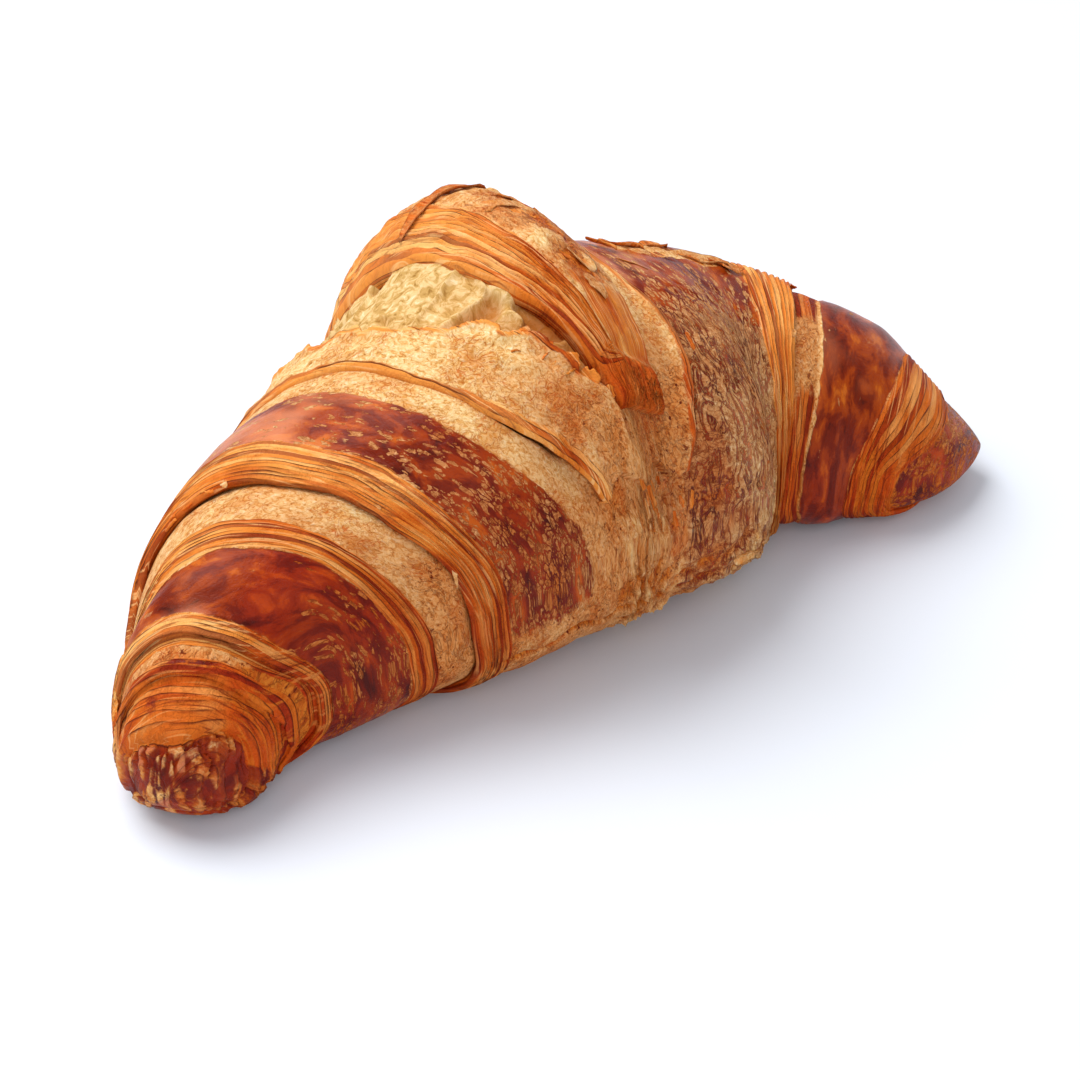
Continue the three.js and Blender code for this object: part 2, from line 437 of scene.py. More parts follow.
# %% The second turn
def middle_turn(material):
    angles = columns(215, 50)
    third, layers, wash = EDGE["third"], EDGE["second_layers"], EDGE["second_wash"]
    second, r_second = EDGE["second"], EDGE["right_second"]
    r_layers, r_third = EDGE["right_layers"], EDGE["right_third"]

    def bared(d):
        return ease(80, 88, wrap(d)) * (1 - ease(150, 175, wrap(d)))

    def under(d):
        covered = ease(-120, -95, wrap(d)) * (1 - ease(52, 66, wrap(d)))
        return -2.7 + 1.9 * bared(d) - 6.0 * covered

    def crease(d):
        return -0.9 - 2.6 * bump_at(wrap(d), 66, 18) + 0.2 * bared(d)

    knots = [
        (-36.0, 0, AXIS, 1, 0), (third, 9, -3.0, 4, 0), (third, 2.2, -2.0, 3, 0),
        (third, 0.9, -1.7, 2, 0), (third, 0.2, -1.2, 2, 0), (third, -0.1, -0.5, 2, 0),
        (third, 0.35, 0.1, 56, 0.15), (layers, 0, 0.15, 34, 0.7), (wash, 0, -0.5, 18, 0.2),
        (second, 0, crease, 4, 0), (second, 3, under, 48, 0),
        (r_second, -2, under, 4, 0), (r_second, 0.4, -1.9, 46, 1.5), (r_layers, 0, -0.1, 40, 0.1),
        (r_third, -0.3, 0.0, 2, 0), (r_third, 0, -0.5, 2, 0), (r_third, -0.2, -1.0, 2, 0),
        (r_third, -0.9, -1.5, 2, 0), (r_third, -5, -2.6, 4, 0), (42.0, 0, AXIS, 1, 0),
    ]
    x, deg, off = rows_through(knots, angles)
    p = unrolled(x, deg)
    cut_left = between(x, third(deg) - 2, layers(deg), 0.9)
    cut_right = between(x, r_layers(deg), r_third(deg) + 2, 0.9)
    ply_left = plies(x, deg, layers(deg), third(deg), 12, 3)
    ply_right = plies(x, deg, r_layers(deg), r_third(deg), 10, 5)
    ply = np.where(x < 0, ply_left, ply_right)
    relief = 0.5 * shingle(ply) * (cut_left + cut_right)
    a = wrap(deg)
    belly = ease(70, 95, a) * between(x, second(deg), r_layers(deg), 3)
    folds = lumps(p + 1.5 * lumps(p, (3, 3, 3), 14)[..., None], (2.6, 2.6, 2.6), 15, 3)
    uneven = 0.25 * lumps(p, (5, 9, 9), 11, 2) + 0.10 * lumps(p, (1.2, 3, 3), 12, 2)
    relief += uneven + 1.3 * folds * belly
    peeling = ease(-14, 20, a) * between(x, r_second(deg), r_layers(deg), 2) * (1 - 0.8 * belly)
    pushed = p + 1.2 * lumps(p, (2, 4, 4), 17)[..., None]
    scales = 1 - np.minimum(1, 5 * np.abs(lumps(pushed, (1.9, 6.5, 6.5), 16, 2)))
    shoulder = bump_at(x, 36, 9) * bump_at(a, -15, 11)
    crack = bump_at(a + 3.5 * lumps(p, (6, 6, 6), 18, 2), 107, 1.0) * between(x, -26.0, 14.0, 3)
    relief += -0.45 * scales * (peeling + 0.8 * belly) + 1.3 * folds * shoulder - 0.9 * crack
    off = roughened(off, relief, deg)
    open_shoulder = ease(0.35, 0.6, shoulder + 0.5 * lumps(p, (3, 5, 5), 19, 2))
    wash_left = between(x, layers(deg), wash(deg), 0.9)
    wash_right = between(x, r_second(deg), r_layers(deg), 1.2) * (1 - 0.6 * ease(70, 100, a))
    wash_right = wash_right * (1 - open_shoulder)
    band = wash_left * bump_at(a, 28, 30)
    pale = between(x, wash(deg), second(deg), 0.8)
    # Partly painted shade: this grows toward the lower front, because that side faces away from the
    # main light; its base level and its noise are real browning.
    brown = np.where(x > 20, 0.27, 0.12 + 0.55 * ease(25, 80, a)) + 0.35 * lumps(p, (5, 8, 8), 13, 2)
    traces = (0.34 - 0.2 * (x > 0)) * belly
    fields = {
        "wash": wash_left * (1 - ease(88, 104, a)) + wash_right + traces,
        "cut": np.clip(cut_left + cut_right + 0.75 * open_shoulder * (folds < 0), 0, 1),
        "ply": ply,
        "fleck": np.where(x < 0, 0.3 + 0.45 * ease(5, 85, a), 0.28 + 0.72 * ease(-12, 38, a)),
        # Painted light and shade: the belly's raised folds get less toast_and_shade, and its hollows
        # and the long crack get more, so ridges look lit and grooves shaded.
        "toast_and_shade": np.clip(brown + 0.5 * band - 0.08 * pale - 0.9 * folds * belly + 0.6 * crack, 0, 1),
    }
    return skin("second_turn", [(x, deg, off, fields)], material)


# %% [markdown]
# ## The blunt horn
# The left horn holds the shorter turns. It starts hidden inside the barrel, comes out from under its
# lip as a pale sheltered strip, and then repeats the same order on a smaller scale: fine lines, a
# dark washed band, cut layers, a lip. It ends in a blunt knob whose skin shrank into fine upright
# wrinkles.

# %% The blunt horn
def blunt_horn(material):
    angles = columns(170, 55)
    third, pale, wash = EDGE["third"], EDGE["third_pale"], EDGE["third_wash"]
    layers, fourth, fourth_wash = EDGE["third_layers"], EDGE["fourth"], EDGE["fourth_wash"]
    fifth, cap = EDGE["fifth"], EDGE["cap"]
    knots = [
        (-34.0, 0, AXIS, 1, 0), (third, 8, -3.6, 4, 0), (third, 1.5, -2.0, 3, 0),
        (third, -0.4, -1.15, 16, 0.25), (pale, 0, -0.9, 26, 0.1), (wash, 0, -0.6, 30, 0.8),
        (layers, 0, -0.1, 20, 0.1), (fourth, 0.3, 0.05, 2, 0), (fourth, 0, -0.4, 2, 0),
        (fourth, 0.25, -0.8, 2, 0), (fourth, 0.6, -1.2, 2, 0), (fourth, 0.4, -1.5, 2, 0),
        (fourth, -0.4, -1.45, 12, 0.1), (fourth_wash, 0, -0.9, 10, 0.2), (fifth, 0.3, 0.0, 2, 0),
        (fifth, 0, -0.4, 2, 0), (fifth, 0.4, -0.8, 2, 0), (fifth, 0.0, -1.1, 2, 0),
        (fifth, -0.5, -1.0, 16, 0.5), (cap, 0.4, 0.35, 2, 0), (cap, 0, -0.2, 2, 0),
        (cap, 0.1, -0.9, 2, 0), (cap, -0.15, -1.1, 1, 0),
    ]
    x, deg, off = rows_through(knots, angles)
    knob_rows = 25
    x, deg, off = round_tip(x, off, angles, -HALF_LENGTH, -0.15, knob_rows, 0.7)
    p, a = unrolled(x, deg), wrap(deg)
    row = np.arange(len(x))[:, None] + 0 * x
    there = body_point(x, deg, 0 * x)
    droop = ease(18, 16, there[..., 2] + 0.9 * (x + HALF_LENGTH))
    first_knob_row = len(x) - knob_rows
    on_knob = np.maximum(ease(first_knob_row - 2, first_knob_row, row), droop)
    cut = between(x, fourth(deg) - 1, layers(deg), 0.7)
    cut = cut + 0.9 * between(x, wash(deg) + 0.1, pale(deg), 0.6)
    cut = cut + 0.8 * between(x, fifth(deg) - 1, fourth_wash(deg), 0.6)
    cut = cut + between(x, cap(deg) - 2, fifth(deg) - 0.6, 0.6)
    cut = np.clip(cut, 0, 1)
    fine_lines = plies(x, deg, pale(deg), wash(deg), 7, 21)
    fan = plies(x, deg, layers(deg), fourth(deg), 5, 23)
    short_turns = plies(x, deg, fourth(deg), cap(deg), 10, 25)
    ply = np.where(x < fourth(deg), short_turns, np.where(x > wash(deg), fine_lines, fan))
    wrinkle = (np.minimum(1, 3.6 * np.abs(lumps(there, (1.7, 1.4, 8.0), 27, 2))) - 0.6) * on_knob
    relief = 0.34 * shingle(ply) * cut + 1.1 * wrinkle * np.minimum(1, (x + HALF_LENGTH) / 0.5)
    relief += 0.22 * lumps(p, (4, 8, 8), 28, 2) + 0.08 * lumps(p, (1.1, 3, 3), 29, 2)
    off = roughened(off, relief, deg)
    washed = between(x, layers(deg), wash(deg), 0.8)
    washed += 0.6 * between(x, fifth(deg) + 0.8, fourth_wash(deg) - 0.2, 0.5) * bump_at(a, 5, 38)
    blots = 0.45 * between(x, cap(deg) + 1.2, fifth(deg) - 0.6, 0.5) * bump_at(a, -20, 25)
    # Partly painted shade: tone grows toward the lower front, which the main light misses, on top of
    # the real browning.
    tone = 0.15 + 0.7 * ease(20, 70, a) + 0.35 * lumps(p, (5, 8, 8), 30, 2) - 0.9 * wrinkle
    tone = tone + 0.5 * (1 - ease(-2, 0, x - fourth(deg)))
    tone = tone + (0.15 - 0.3 * ease(20, 70, a)) * between(x, pale(deg), third(deg), 0.8)
    tone = tone + 0.8 * washed * bump_at(a, 30, 23)
    fields = {
        # Painted highlights and shade: raised wrinkles on the knob get less wash and less
        # toast_and_shade, so they are lighter and more orange than the grooves.
        "wash": np.maximum(washed + blots, 0.6 * on_knob - 0.3 * wrinkle),
        "cut": cut * (1 - on_knob) + 0.6 * on_knob,
        "ply": ply,
        "fleck": (0.02 + 0.52 * ease(35, 90, a)) * (1 - on_knob),
        "toast_and_shade": np.clip(tone - 0.2 * on_knob, 0, 1),
    }
    return skin("blunt_horn", [(x, deg, off, fields)], material)


# %% [markdown]
# ## The fine horn
# The right horn is smoother. A thin lip and a narrow pale oval come first, then a broad, almost
# unbroken washed band, a fan of layers, and a mottled point.

# %% The fine horn
def fine_horn(material):
    angles = columns(160, 50)
    third, wash = EDGE["right_third"], EDGE["right_wash"]
    layers, fourth = EDGE["right_third_layers"], EDGE["right_fourth"]
    knots = [
        (40.0, 0, AXIS, 1, 0), (third, -5, -3.2, 3, 0), (third, -0.8, -1.8, 3, 0),
        (third, 0.3, -1.3, 12, 0.25), (wash, 0, -0.8, 3, 0), (wash, 0.6, -0.35, 40, 0.7),
        (layers, 0, -0.1, 30, 0.1), (fourth, -0.2, 0.0, 2, 0), (fourth, 0, -0.4, 2, 0),
        (fourth, -0.3, -0.9, 2, 0), (fourth, 0.2, -1.0, 1, 0),
    ]
    x, deg, off = rows_through(knots, angles)
    x, deg, off = round_tip(x, off, angles, HALF_LENGTH, 0.1, 33, 0.5)
    p, a = unrolled(x, deg), wrap(deg)
    on_point = ease(-0.5, 1.5, x - fourth(deg))
    cut = between(x, layers(deg), fourth(deg) + 1, 0.7)
    oval_lines = plies(x, deg, third(deg), wash(deg), 5, 45)
    fan = plies(x, deg, layers(deg), fourth(deg), 9, 41)
    ply = np.where(x < wash(deg) + 3, oval_lines, fan)
    oval = between(x, third(deg), wash(deg), 0.5)
    # Partly painted shade: browner toward the lower front, which faces away from the main light; the
    # rest is real browning.
    brown = 0.25 + 0.5 * ease(40, 100, a) + 0.3 * lumps(p, (5, 8, 8), 44, 2)
    relief = 0.36 * shingle(ply) * cut + 0.3 * lumps(p, (6, 10, 10), 42, 2)
    relief += 0.07 * lumps(p, (1.1, 3, 3), 43, 2)
    off = roughened(off, relief, deg)
    fields = {
        "wash": between(x, wash(deg) + 0.5, layers(deg), 0.8) + 0.6 * on_point,
        "cut": cut + oval * (1 - 1.1 * bump_at(a, 27, 24)),
        "ply": ply,
        "fleck": 0.65 * on_point,
        "toast_and_shade": np.clip(brown + 0.45 * oval + 0.35 * cut + 0.45 * on_point, 0, 1),
    }
    return skin("fine_horn", [(x, deg, off, fields)], material)


# %% [markdown]
# ## The pale turn
# The last full turn rose after the egg wash was brushed on, so most of it is pale and fibrous. It is
# a slab with a thickness: it starts as a torn tongue on the front, runs back over the crown and ends
# underneath. Where it burst beside the flap it dips into a trough, and the crumb shows there.

# %% The pale turn
THINNEST = 0.8


def slab(lines, degs, tops):
    """Rows from one end of a turn to the other; each row goes over the top and back underneath."""
    left, right = lines
    share = np.concatenate([tops, tops[::-1][1:-1]])
    over = np.arange(len(share)) < len(tops)
    deg = np.broadcast_to(degs[:, None], (len(degs), len(share)))
    x = left(deg) + (right(deg) - left(deg)) * share
    loop = np.append(np.arange(len(share)), 0)
    return x[:, loop], deg[:, loop], share[loop] + 0 * x[:, loop], over[loop]


def split_reach(a):
    """How far the burst is open at each angle, 0 to 1."""
    return ease(-95, -62, a) * (1 - ease(38, 52, a))


def torn_edge(deg):
    """The dough on the burst's left tore raggedly, with flakes of a few millimetres."""
    place = unrolled(0.0 * deg, deg)
    return EDGE["split_low"](deg) + 2.3 * lumps(place, (9, 5, 5), 57, 3) + 3.5 * ease(-5, 32, wrap(deg))


def split_depth(x, deg):
    """0 outside the burst beside the flap, 1 at its bottom."""
    high = EDGE["split_high"](deg)
    return split_reach(wrap(deg)) * ease(-0.4, 0.7, x - torn_edge(deg)) * (1 - ease(2.0, 4.0, x - high))


def closed_ends(off, value):
    """The first row and the last one lie on one depth, so that the slab closes there."""
    off[0] = off[-1] = value
    return off


def pressed_rim(rim):
    """How far a slab's top drops at its rim, where rim goes from 0 to 1, in a quarter circle."""
    return 1.2 * (1 - np.sqrt(1 - (1 - rim) ** 2))


def pale_turn(material):
    degs = 84.0 - 259.0 * np.linspace(0, 1, 310)
    left_rim, right_rim = [0, 0.004, 0.012, 0.025], [0.98, 0.99, 0.997, 1.0]
    tops = np.concatenate([left_rim, np.linspace(0.04, 0.965, 140), right_rim])
    x, deg, share, over = slab((EDGE["second"], EDGE["right_second"]), degs, tops)
    p, a = unrolled(x, deg), deg
    ragged = 15.0 * lumps(unrolled(x, 0 * deg), (7.0, 9, 9), 51, 2) - 3.0 * bump_at(share, 0.5, 0.3)
    end = ease(83, 81, a + 5 + ragged)
    edge = np.minimum(share, 1 - share)
    rim = np.minimum(1, edge / 0.02)
    beside_flap = ease(-1.5, 0.5, x - EDGE["split_high"](deg))
    beside_flap = beside_flap * ease(-1.0, 4.5, EDGE["right_second"](deg) - x + 1.2)
    low_front = ease(10, 60, a)
    left_lip = bump_at(share, 0, 0.018 + 0.045 * low_front)
    right_lip = bump_at(share, 1, 0.035)
    top = 0.1 + (0.1 + 0.35 * low_front) * left_lip - 2.3 * beside_flap * (1 - ease(50, 78, a))
    top -= pressed_rim(rim) + 3.4 * (1 - end)
    low = torn_edge(deg)
    lip = bump_at(x, low - 0.6, 0.8) * split_reach(a)
    top += 0.7 * lip + 0.9 * lumps(p, (2.0, 4, 4), 55, 2) * bump_at(x, low - 2, 4) * split_reach(a)
    folds = lumps(p + 2.0 * lumps(p, (6, 8, 8), 56)[..., None], (2.6, 7, 7), 52, 3)
    top += (0.7 * folds + 0.25 * lumps(p, (0.9, 1.6, 1.6), 53, 2)) * rim
    depth = split_depth(x, deg)
    top = top * (1 - depth) - 7.0 * depth
    back = ease(-178, -140, a)
    sunk = -2.6
    top = sunk + (top - sunk) * back
    base = np.minimum(np.where(rim < 0.9, -1.2, -3.8), top - THINNEST)
    off = closed_ends(np.where(over, top, base), -2.4)
    rolled = 1.3 * left_lip + right_lip + 0.5 * (1 - end)
    # Partly painted shade: darker toward the lower front, away from the main light; the folds term
    # paints raised folds lighter and hollows darker.
    toasted_and_shaded = 0.68 * ease(10, 62, a) + 0.2 * ease(0.6, 0.9, share) - 0.35 * folds
    toasted_and_shaded = toasted_and_shaded - 0.5 * (left_lip + right_lip)
    fields = {
        "cut": np.clip(rolled + 0.8 * lip, 0, 1) * (over | (rim < 0.9)),
        "ply": 0.35 + share * 40 + 0.3 * lumps(p, (3, 20, 20), 54),
        "fleck": 0.2,
        "toast_and_shade": np.clip(toasted_and_shaded, 0, 1),
    }
    return skin("pale_turn", [(x, deg, off, fields)], material)


# %% [markdown]
# ## The flap
# The end of the dough lies on top as a thick flap. Its left side is a slope of cut layers that hangs
# over the burst, its top is dry and flaky, and it ends on the front in a square tab.

# %% The flap
def flap(material):
    degs = 57.0 - 217.0 * np.linspace(0, 1, 310)
    left_rim, right_rim = [0, 0.006, 0.016, 0.03], [0.975, 0.99, 1.0]
    layered, plain = np.linspace(0.045, 0.34, 76), np.linspace(0.345, 0.96, 62)
    tops = np.concatenate([left_rim, layered, plain, right_rim])
    x, deg, share, over = slab((EDGE["split_high"], EDGE["flap_right"]), degs, tops)
    p, a = unrolled(x, deg), deg
    face = EDGE["flap_layers"](deg)
    low = EDGE["split_high"](deg)
    slope = ease(0, 1, (x - low) / np.maximum(face - low, 1))
    rim = np.minimum(1, np.minimum(share, 1 - share) / 0.03)
    end = ease(57, 54.5, a + 1.5 * lumps(p, (4, 9, 9), 61))
    top = -0.7 + 1.1 * slope + 0.4 * np.sin(np.pi * share) - 0.6 * ease(0.8, 1.0, share)
    tab = ease(40, 46, a)
    notch = 0.9 * bump_at(a, 41, 2.2) * ease(0.3, 0.6, share)
    top += tab * (1.3 * np.sin(np.pi * share) ** 0.5 - 0.2) - notch
    top -= pressed_rim(rim) + 1.2 * (1 - end)
    cut = np.maximum(1 - ease(-0.8, 0.8, x - face), 0.8 * tab)
    ply = plies(x, deg, low, face, 13, 62)
    broken = 0.6 + 0.8 * lumps(p, (1.6, 5, 5), 66, 2)
    top += 1.1 * shingle(ply) * broken * cut * rim
    dry = (1 - cut) * (1 - 0.5 * bump_at(a, 30, 14))
    stack = 3 * lumps(p, (5.5, 5, 5), 65, 3)
    scales = (np.floor(stack) + ease(0, 0.25, stack - np.floor(stack))) / 3
    top += 0.6 * lumps(p, (1.5, 1.9, 1.9), 67, 3) * tab * rim
    top += (1.0 * scales + 0.45 * lumps(p, (1.3, 1.8, 1.8), 64, 2)) * dry * rim
    top += 0.35 * lumps(p, (5, 7, 7), 63, 2) * rim
    back = ease(-158, -120, a)
    sunk = -3.0
    top = sunk + (top - sunk) * back
    base = np.where(share < 0.04, -4.0, np.where(share > 0.97, -2.2, -6.0))
    base = np.minimum(base, top - THINNEST)
    off = closed_ends(np.where(over, top, base), -2.8)
    ply = ply - 1.6 * np.minimum(0, off + 1.5) * (share < 0.3)
    burnt = bump_at(a, 6, 13) * bump_at(share, 0.78, 0.2)
    # Partly painted shade: the flap's cut layers get darker toward the front, away from the main light.
    lower = 0.5 * cut * ease(-10, 25, a)
    strip = ease(0.3, 0.42, share) * ease(12, 24, a) * (1 - tab)
    fields = {
        "wash": 0.25 * strip,
        "cut": np.maximum(cut, 0.75 * strip) * (over | (rim < 0.9)),
        "ply": np.where(x < face + 0.5, ply, 0.5) * (1 - tab) + 0.5 * tab,
        "fleck": 0.36,
        # Painted shade: on the flap's dry top the lower scales get more toast_and_shade than the higher
        # ones, so they look shaded.
        "toast_and_shade": np.clip(lower + 0.6 * dry + 0.7 * burnt + 0.3 * tab - 0.9 * scales * dry, 0, 1),
    }
    return skin("flap", [(x, deg, off, fields)], material)


# %% [markdown]
# ## The crumb in the burst
# Inside the burst the dough tore into soft strings with holes between them. Coarse noise gives the
# swells and the holes, finer noise the strings, and the base lies hidden in the trough. At its back
# end the crumb sinks under the dough.

# %% The crumb
def crumb(material):
    degs = 53.0 - 152.0 * np.linspace(0, 1, 300)
    tops = np.linspace(0, 1, 84)

    def low(d):
        return EDGE["split_low"](d) - 3.0

    def high(d):
        return EDGE["split_high"](d) + 3.0

    x, deg, share, over = slab((low, high), degs, tops)
    p = unrolled(x, deg)
    pulled = p + 2.0 * lumps(p, (4, 5, 5), 71)[..., None]
    soft = lumps(pulled, (7.0, 10.0, 10.0), 72, 2)
    small = lumps(pulled, (1.8, 2.8, 2.8), 73, 3)
    webs = np.clip(1 - np.abs(lumps(pulled, (8, 12, 12), 74)) * 9, 0, 1)
    holes = ease(0.15, 0.5, lumps(pulled, (4.2, 6.0, 6.0), 75))
    right_end = ease(-5, 30, deg)
    top = -3.2 + 2.0 * soft + 0.25 * small + 1.1 * webs * webs - 2.8 * holes
    top += (1.3 - 2.2 * right_end) * share
    top -= 5.0 * ease(-80, -96, deg)
    off = closed_ends(np.where(over, top, -8.0), -6.0)
    # Painted shade: the holes, the front end beside the flap and the strip along the torn edge get more
    # toast_and_shade, and the swells less.
    deep = 0.5 * holes - 0.6 * soft + 0.75 * right_end + 0.5 * np.exp(-(share / 0.25) ** 4)
    return skin("crumb", [(x, deg, off, {"toast_and_shade": np.clip(deep, 0, 1)})], material)


# %% [markdown]
# ## Loose flakes
# Thin sheets came loose where the dough moved most: on the flap, on the right shoulder, in the burst,
# as slivers on the lips and along the torn end of the tongue. Each is a thin closed leaf that follows
# the body and curls up at one end and at its sides. The big ones are listed one by one; the small ones
# are scattered with a fixed seed.

# %% The flakes
SHEET = 0.22
DEG_PER_MM = 1.75
SEED = 5
ON_FLAP, ON_LIPS, ON_TONGUE = 70, 16, 18


def leaf(x, deg, off, length, width, turn, curl, seed):
    """One flake as arrays: rows go along it, columns over its top and back below."""
    u = np.linspace(-1, 1, 15)[:, None]
    v = np.concatenate([np.linspace(-1, 1, 9), np.linspace(1, -1, 9)[1:]])[None, :]
    side = np.concatenate([np.full(9, 1.0), np.full(8, -1.0)])[None, :]
    ragged = lumps(np.stack([5 * u, 0 * u, 0 * u + seed], -1), (1.6, 1, 1), seed)
    outline = (1 - u ** 2) ** 0.4 * (1 + 0.5 * ragged)
    along_leaf, across = length / 2 * u + 0 * v, width / 2 * outline * v
    t = math.radians(turn)
    leaf_x = x + along_leaf * math.cos(t) - across * math.sin(t)
    leaf_deg = deg + DEG_PER_MM * (along_leaf * math.sin(t) + across * math.cos(t))
    place = np.stack([leaf_x, leaf_deg / DEG_PER_MM, 0 * leaf_x + seed], -1)
    wave = lumps(place, (2.5, 2.5, 1), seed + 1, 2)
    rise = curl * (0.7 * (0.5 + 0.5 * u) ** 2 + 0.5 * v ** 2) + 0.5 * wave
    thick = SHEET * side * np.sqrt((1 - u ** 2) * (1 - v ** 4))
    return leaf_x, leaf_deg, off + rise * (1 - u ** 8) + thick


def flakes(material):
    placed = [
        # x, deg, off, length, width, turn, curl
        (-2.0, -27, 0.6, 17, 4, -6, 1.3),
        (1.0, -9, 0.5, 11, 3.5, 12, 0.6),
        (27.0, -3, -1.2, 9, 5, 20, 1.4),
        (33.0, -9, -0.9, 9, 5, -12, 1.6),
        (41.0, -14, 0.0, 11, 5, -5, 1.3),
        (37.0, 3, -0.4, 7, 4, 10, 1.0),
        (45.5, -12, 0.3, 6, 4, 60, 1.1),
        (30.0, -16, 0.2, 8, 4, 35, 1.3),
        (35.5, -20, 0.3, 7, 3.5, -25, 1.2),
        (24.0, -12, 0.1, 6, 3, 70, 1.1),
        (0.5, 79, 0.2, 5, 1.8, 40, 1.4),
        (6.5, 76, 0.1, 3.5, 1.6, -35, 1.2),
        (23.0, 104, -0.3, 5, 2.6, 10, 1.6),
        (-13.0, 24, -0.9, 5, 3, 40, 1.3),
        (-11.0, 31, -1.1, 4, 3, -20, 1.4),
        (-9.3, 38, -1.0, 5, 3, 25, 1.3),
        (-7.0, 45, -1.1, 4, 2.5, 60, 1.2),
        (-5.2, 51, -0.8, 3, 2, 10, 1.2),
        (8.0, 11, 0.5, 6, 3.5, 80, 1.0),
        (6.5, 22, 0.6, 5, 3, 70, 0.8),
    ]
    rng = np.random.default_rng(SEED)
    for _ in range(ON_FLAP):
        x, deg = rng.uniform(0, 11), rng.uniform(-60, 16)
        length, width, turn = rng.uniform(1.5, 3.5), rng.uniform(0.8, 1.8), rng.uniform(0, 180)
        placed.append((x, deg, 0.35, length, width, turn, 0.4))
    for _ in range(ON_LIPS):
        deg = rng.uniform(-50, 95)
        line = (EDGE["third"], EDGE["right_second"], EDGE["right_third"])[rng.integers(3)]
        x = float(line(np.array(deg))) + rng.uniform(-1.5, 1.5)
        length, width, turn = rng.uniform(2.5, 5), rng.uniform(0.5, 0.9), rng.uniform(75, 105)
        placed.append((x, deg, 0.0, length, width, turn, 0.4))
    for _ in range(ON_TONGUE):
        x, deg = rng.uniform(-3, 13), rng.uniform(74, 88)
        length, width, turn = rng.uniform(1.5, 3.0), rng.uniform(0.5, 1.1), rng.uniform(60, 120)
        placed.append((x, deg, -0.5, length, width, turn, 0.8))
    grids = []
    for seed, (x, deg, off, length, width, turn, curl) in enumerate(placed):
        leaf_x, leaf_deg, leaf_off = leaf(x, deg, off, length, width, turn, curl, seed)
        cut, ply, toast_and_shade = rng.uniform(0.2, 1), 0.3 + 0.4 * rng.uniform(), rng.uniform(0.15, 0.7)
        fields = {"cut": cut, "ply": ply, "toast_and_shade": toast_and_shade}
        grids.append((leaf_x, leaf_deg, leaf_off, fields))
    return skin("flakes", grids, material)


# %% [markdown]
# ## Colour
# Oven colours are picked as sRGB hex values, as an editor shows them, and a shader needs them linear.
# One function turns them, and one more adds a node with its settings and its links.

# %% Colours and one way to add a node
BUTTERY_IOR, DULLED = 1.45, 0.14


def colour(code):
    """The hex code as linear red, green, blue and alpha."""
    parts = [int(code[k:k + 2], 16) / 255 for k in (1, 3, 5)]
    return [c / 12.92 if c <= 0.04045 else ((c + 0.055) / 1.055) ** 2.4 for c in parts] + [1.0]


def add(tree, kind, settings=None, **links):
    """Adds a node. A value goes on the input of that name, and an output socket is linked to it."""
    node = tree.nodes.new("ShaderNode" + kind)
    for key, value in (settings or {}).items():
        setattr(node, key, value)
    for key, value in links.items():
        socket = node.inputs[int(key[1:])] if key[1:].isdigit() else node.inputs[key.replace("_", " ")]
        if isinstance(value, bpy.types.NodeSocket):
            tree.links.new(value, socket)
        else:
            socket.default_value = value
    return node


def field(tree, name):
    return add(tree, "Attribute", {"attribute_name": name}).outputs["Fac"]


def stretched(tree, across, around):
    """The dough's own coordinates, so that one unit is a feature of this many millimetres."""
    dough = add(tree, "Attribute", {"attribute_name": "dough"}).outputs["Vector"]
    scale = (1 / across, 1 / around, 1 / around)
    return add(tree, "Mapping", {"vector_type": "POINT"}, Vector=dough, Scale=scale).outputs["Vector"]


def noise(tree, across, around, detail=3.0, rough=0.55, twist=0.0):
    place = stretched(tree, across, around)
    shape = {"Detail": detail, "Roughness": rough, "Distortion": twist}
    return add(tree, "TexNoise", {}, Vector=place, Scale=1.0, **shape).outputs["Fac"]


def ramp(tree, value, stops):
    """A colour, or a grey where the code is a number, for each share of the value."""
    node = add(tree, "ValToRGB", {}, Fac=value)
    node.color_ramp.interpolation = "EASE"
    elements = node.color_ramp.elements
    while len(elements) < len(stops):
        elements.new(0.5)
    for element, (at, code) in zip(elements, stops):
        element.position = at
        element.color = colour(code) if isinstance(code, str) else (code, code, code, 1)
    return node.outputs["Color"]


def maths(tree, operation, a, b=0.0):
    return add(tree, "Math", {"operation": operation}, _0=a, _1=b).outputs[0]


def blend(tree, amount, a, b, mode="MIX"):
    settings = {"data_type": "RGBA", "blend_type": mode}
    node = add(tree, "Mix", settings, _0=amount, _6=a, _7=b)
    return node.outputs[2]


def scaled(tree, value, low, high, to_low=0.0, to_high=1.0):
    """The value's range from low to high, spread smoothly over another one."""
    settings = {"interpolation_type": "SMOOTHSTEP"}
    node = add(tree, "MapRange", settings, _0=value, _1=low, _2=high, _3=to_low, _4=to_high)
    return node.outputs[0]


def warped(tree, across, around, amount):
    """The stretched dough coordinates, pushed about by noise so that cells lose their regular shape."""
    place = stretched(tree, across, around)
    push = add(tree, "TexNoise", {}, Vector=place, Scale=0.9, Detail=3.0).outputs["Color"]
    push = add(tree, "VectorMath", {"operation": "SUBTRACT"}, _0=push, _1=(0.5, 0.5, 0.5)).outputs[0]
    push = add(tree, "VectorMath", {"operation": "SCALE"}, _0=push, Scale=amount).outputs[0]
    return add(tree, "VectorMath", {"operation": "ADD"}, _0=place, _1=push).outputs[0]


def thin_lines(tree, value, width):
    """1 along the contours where the noise passes its middle value, which look like fine wrinkles."""
    away = maths(tree, "ABSOLUTE", maths(tree, "SUBTRACT", value, 0.5))
    return scaled(tree, away, 0.0, width, 1.0, 0.0)


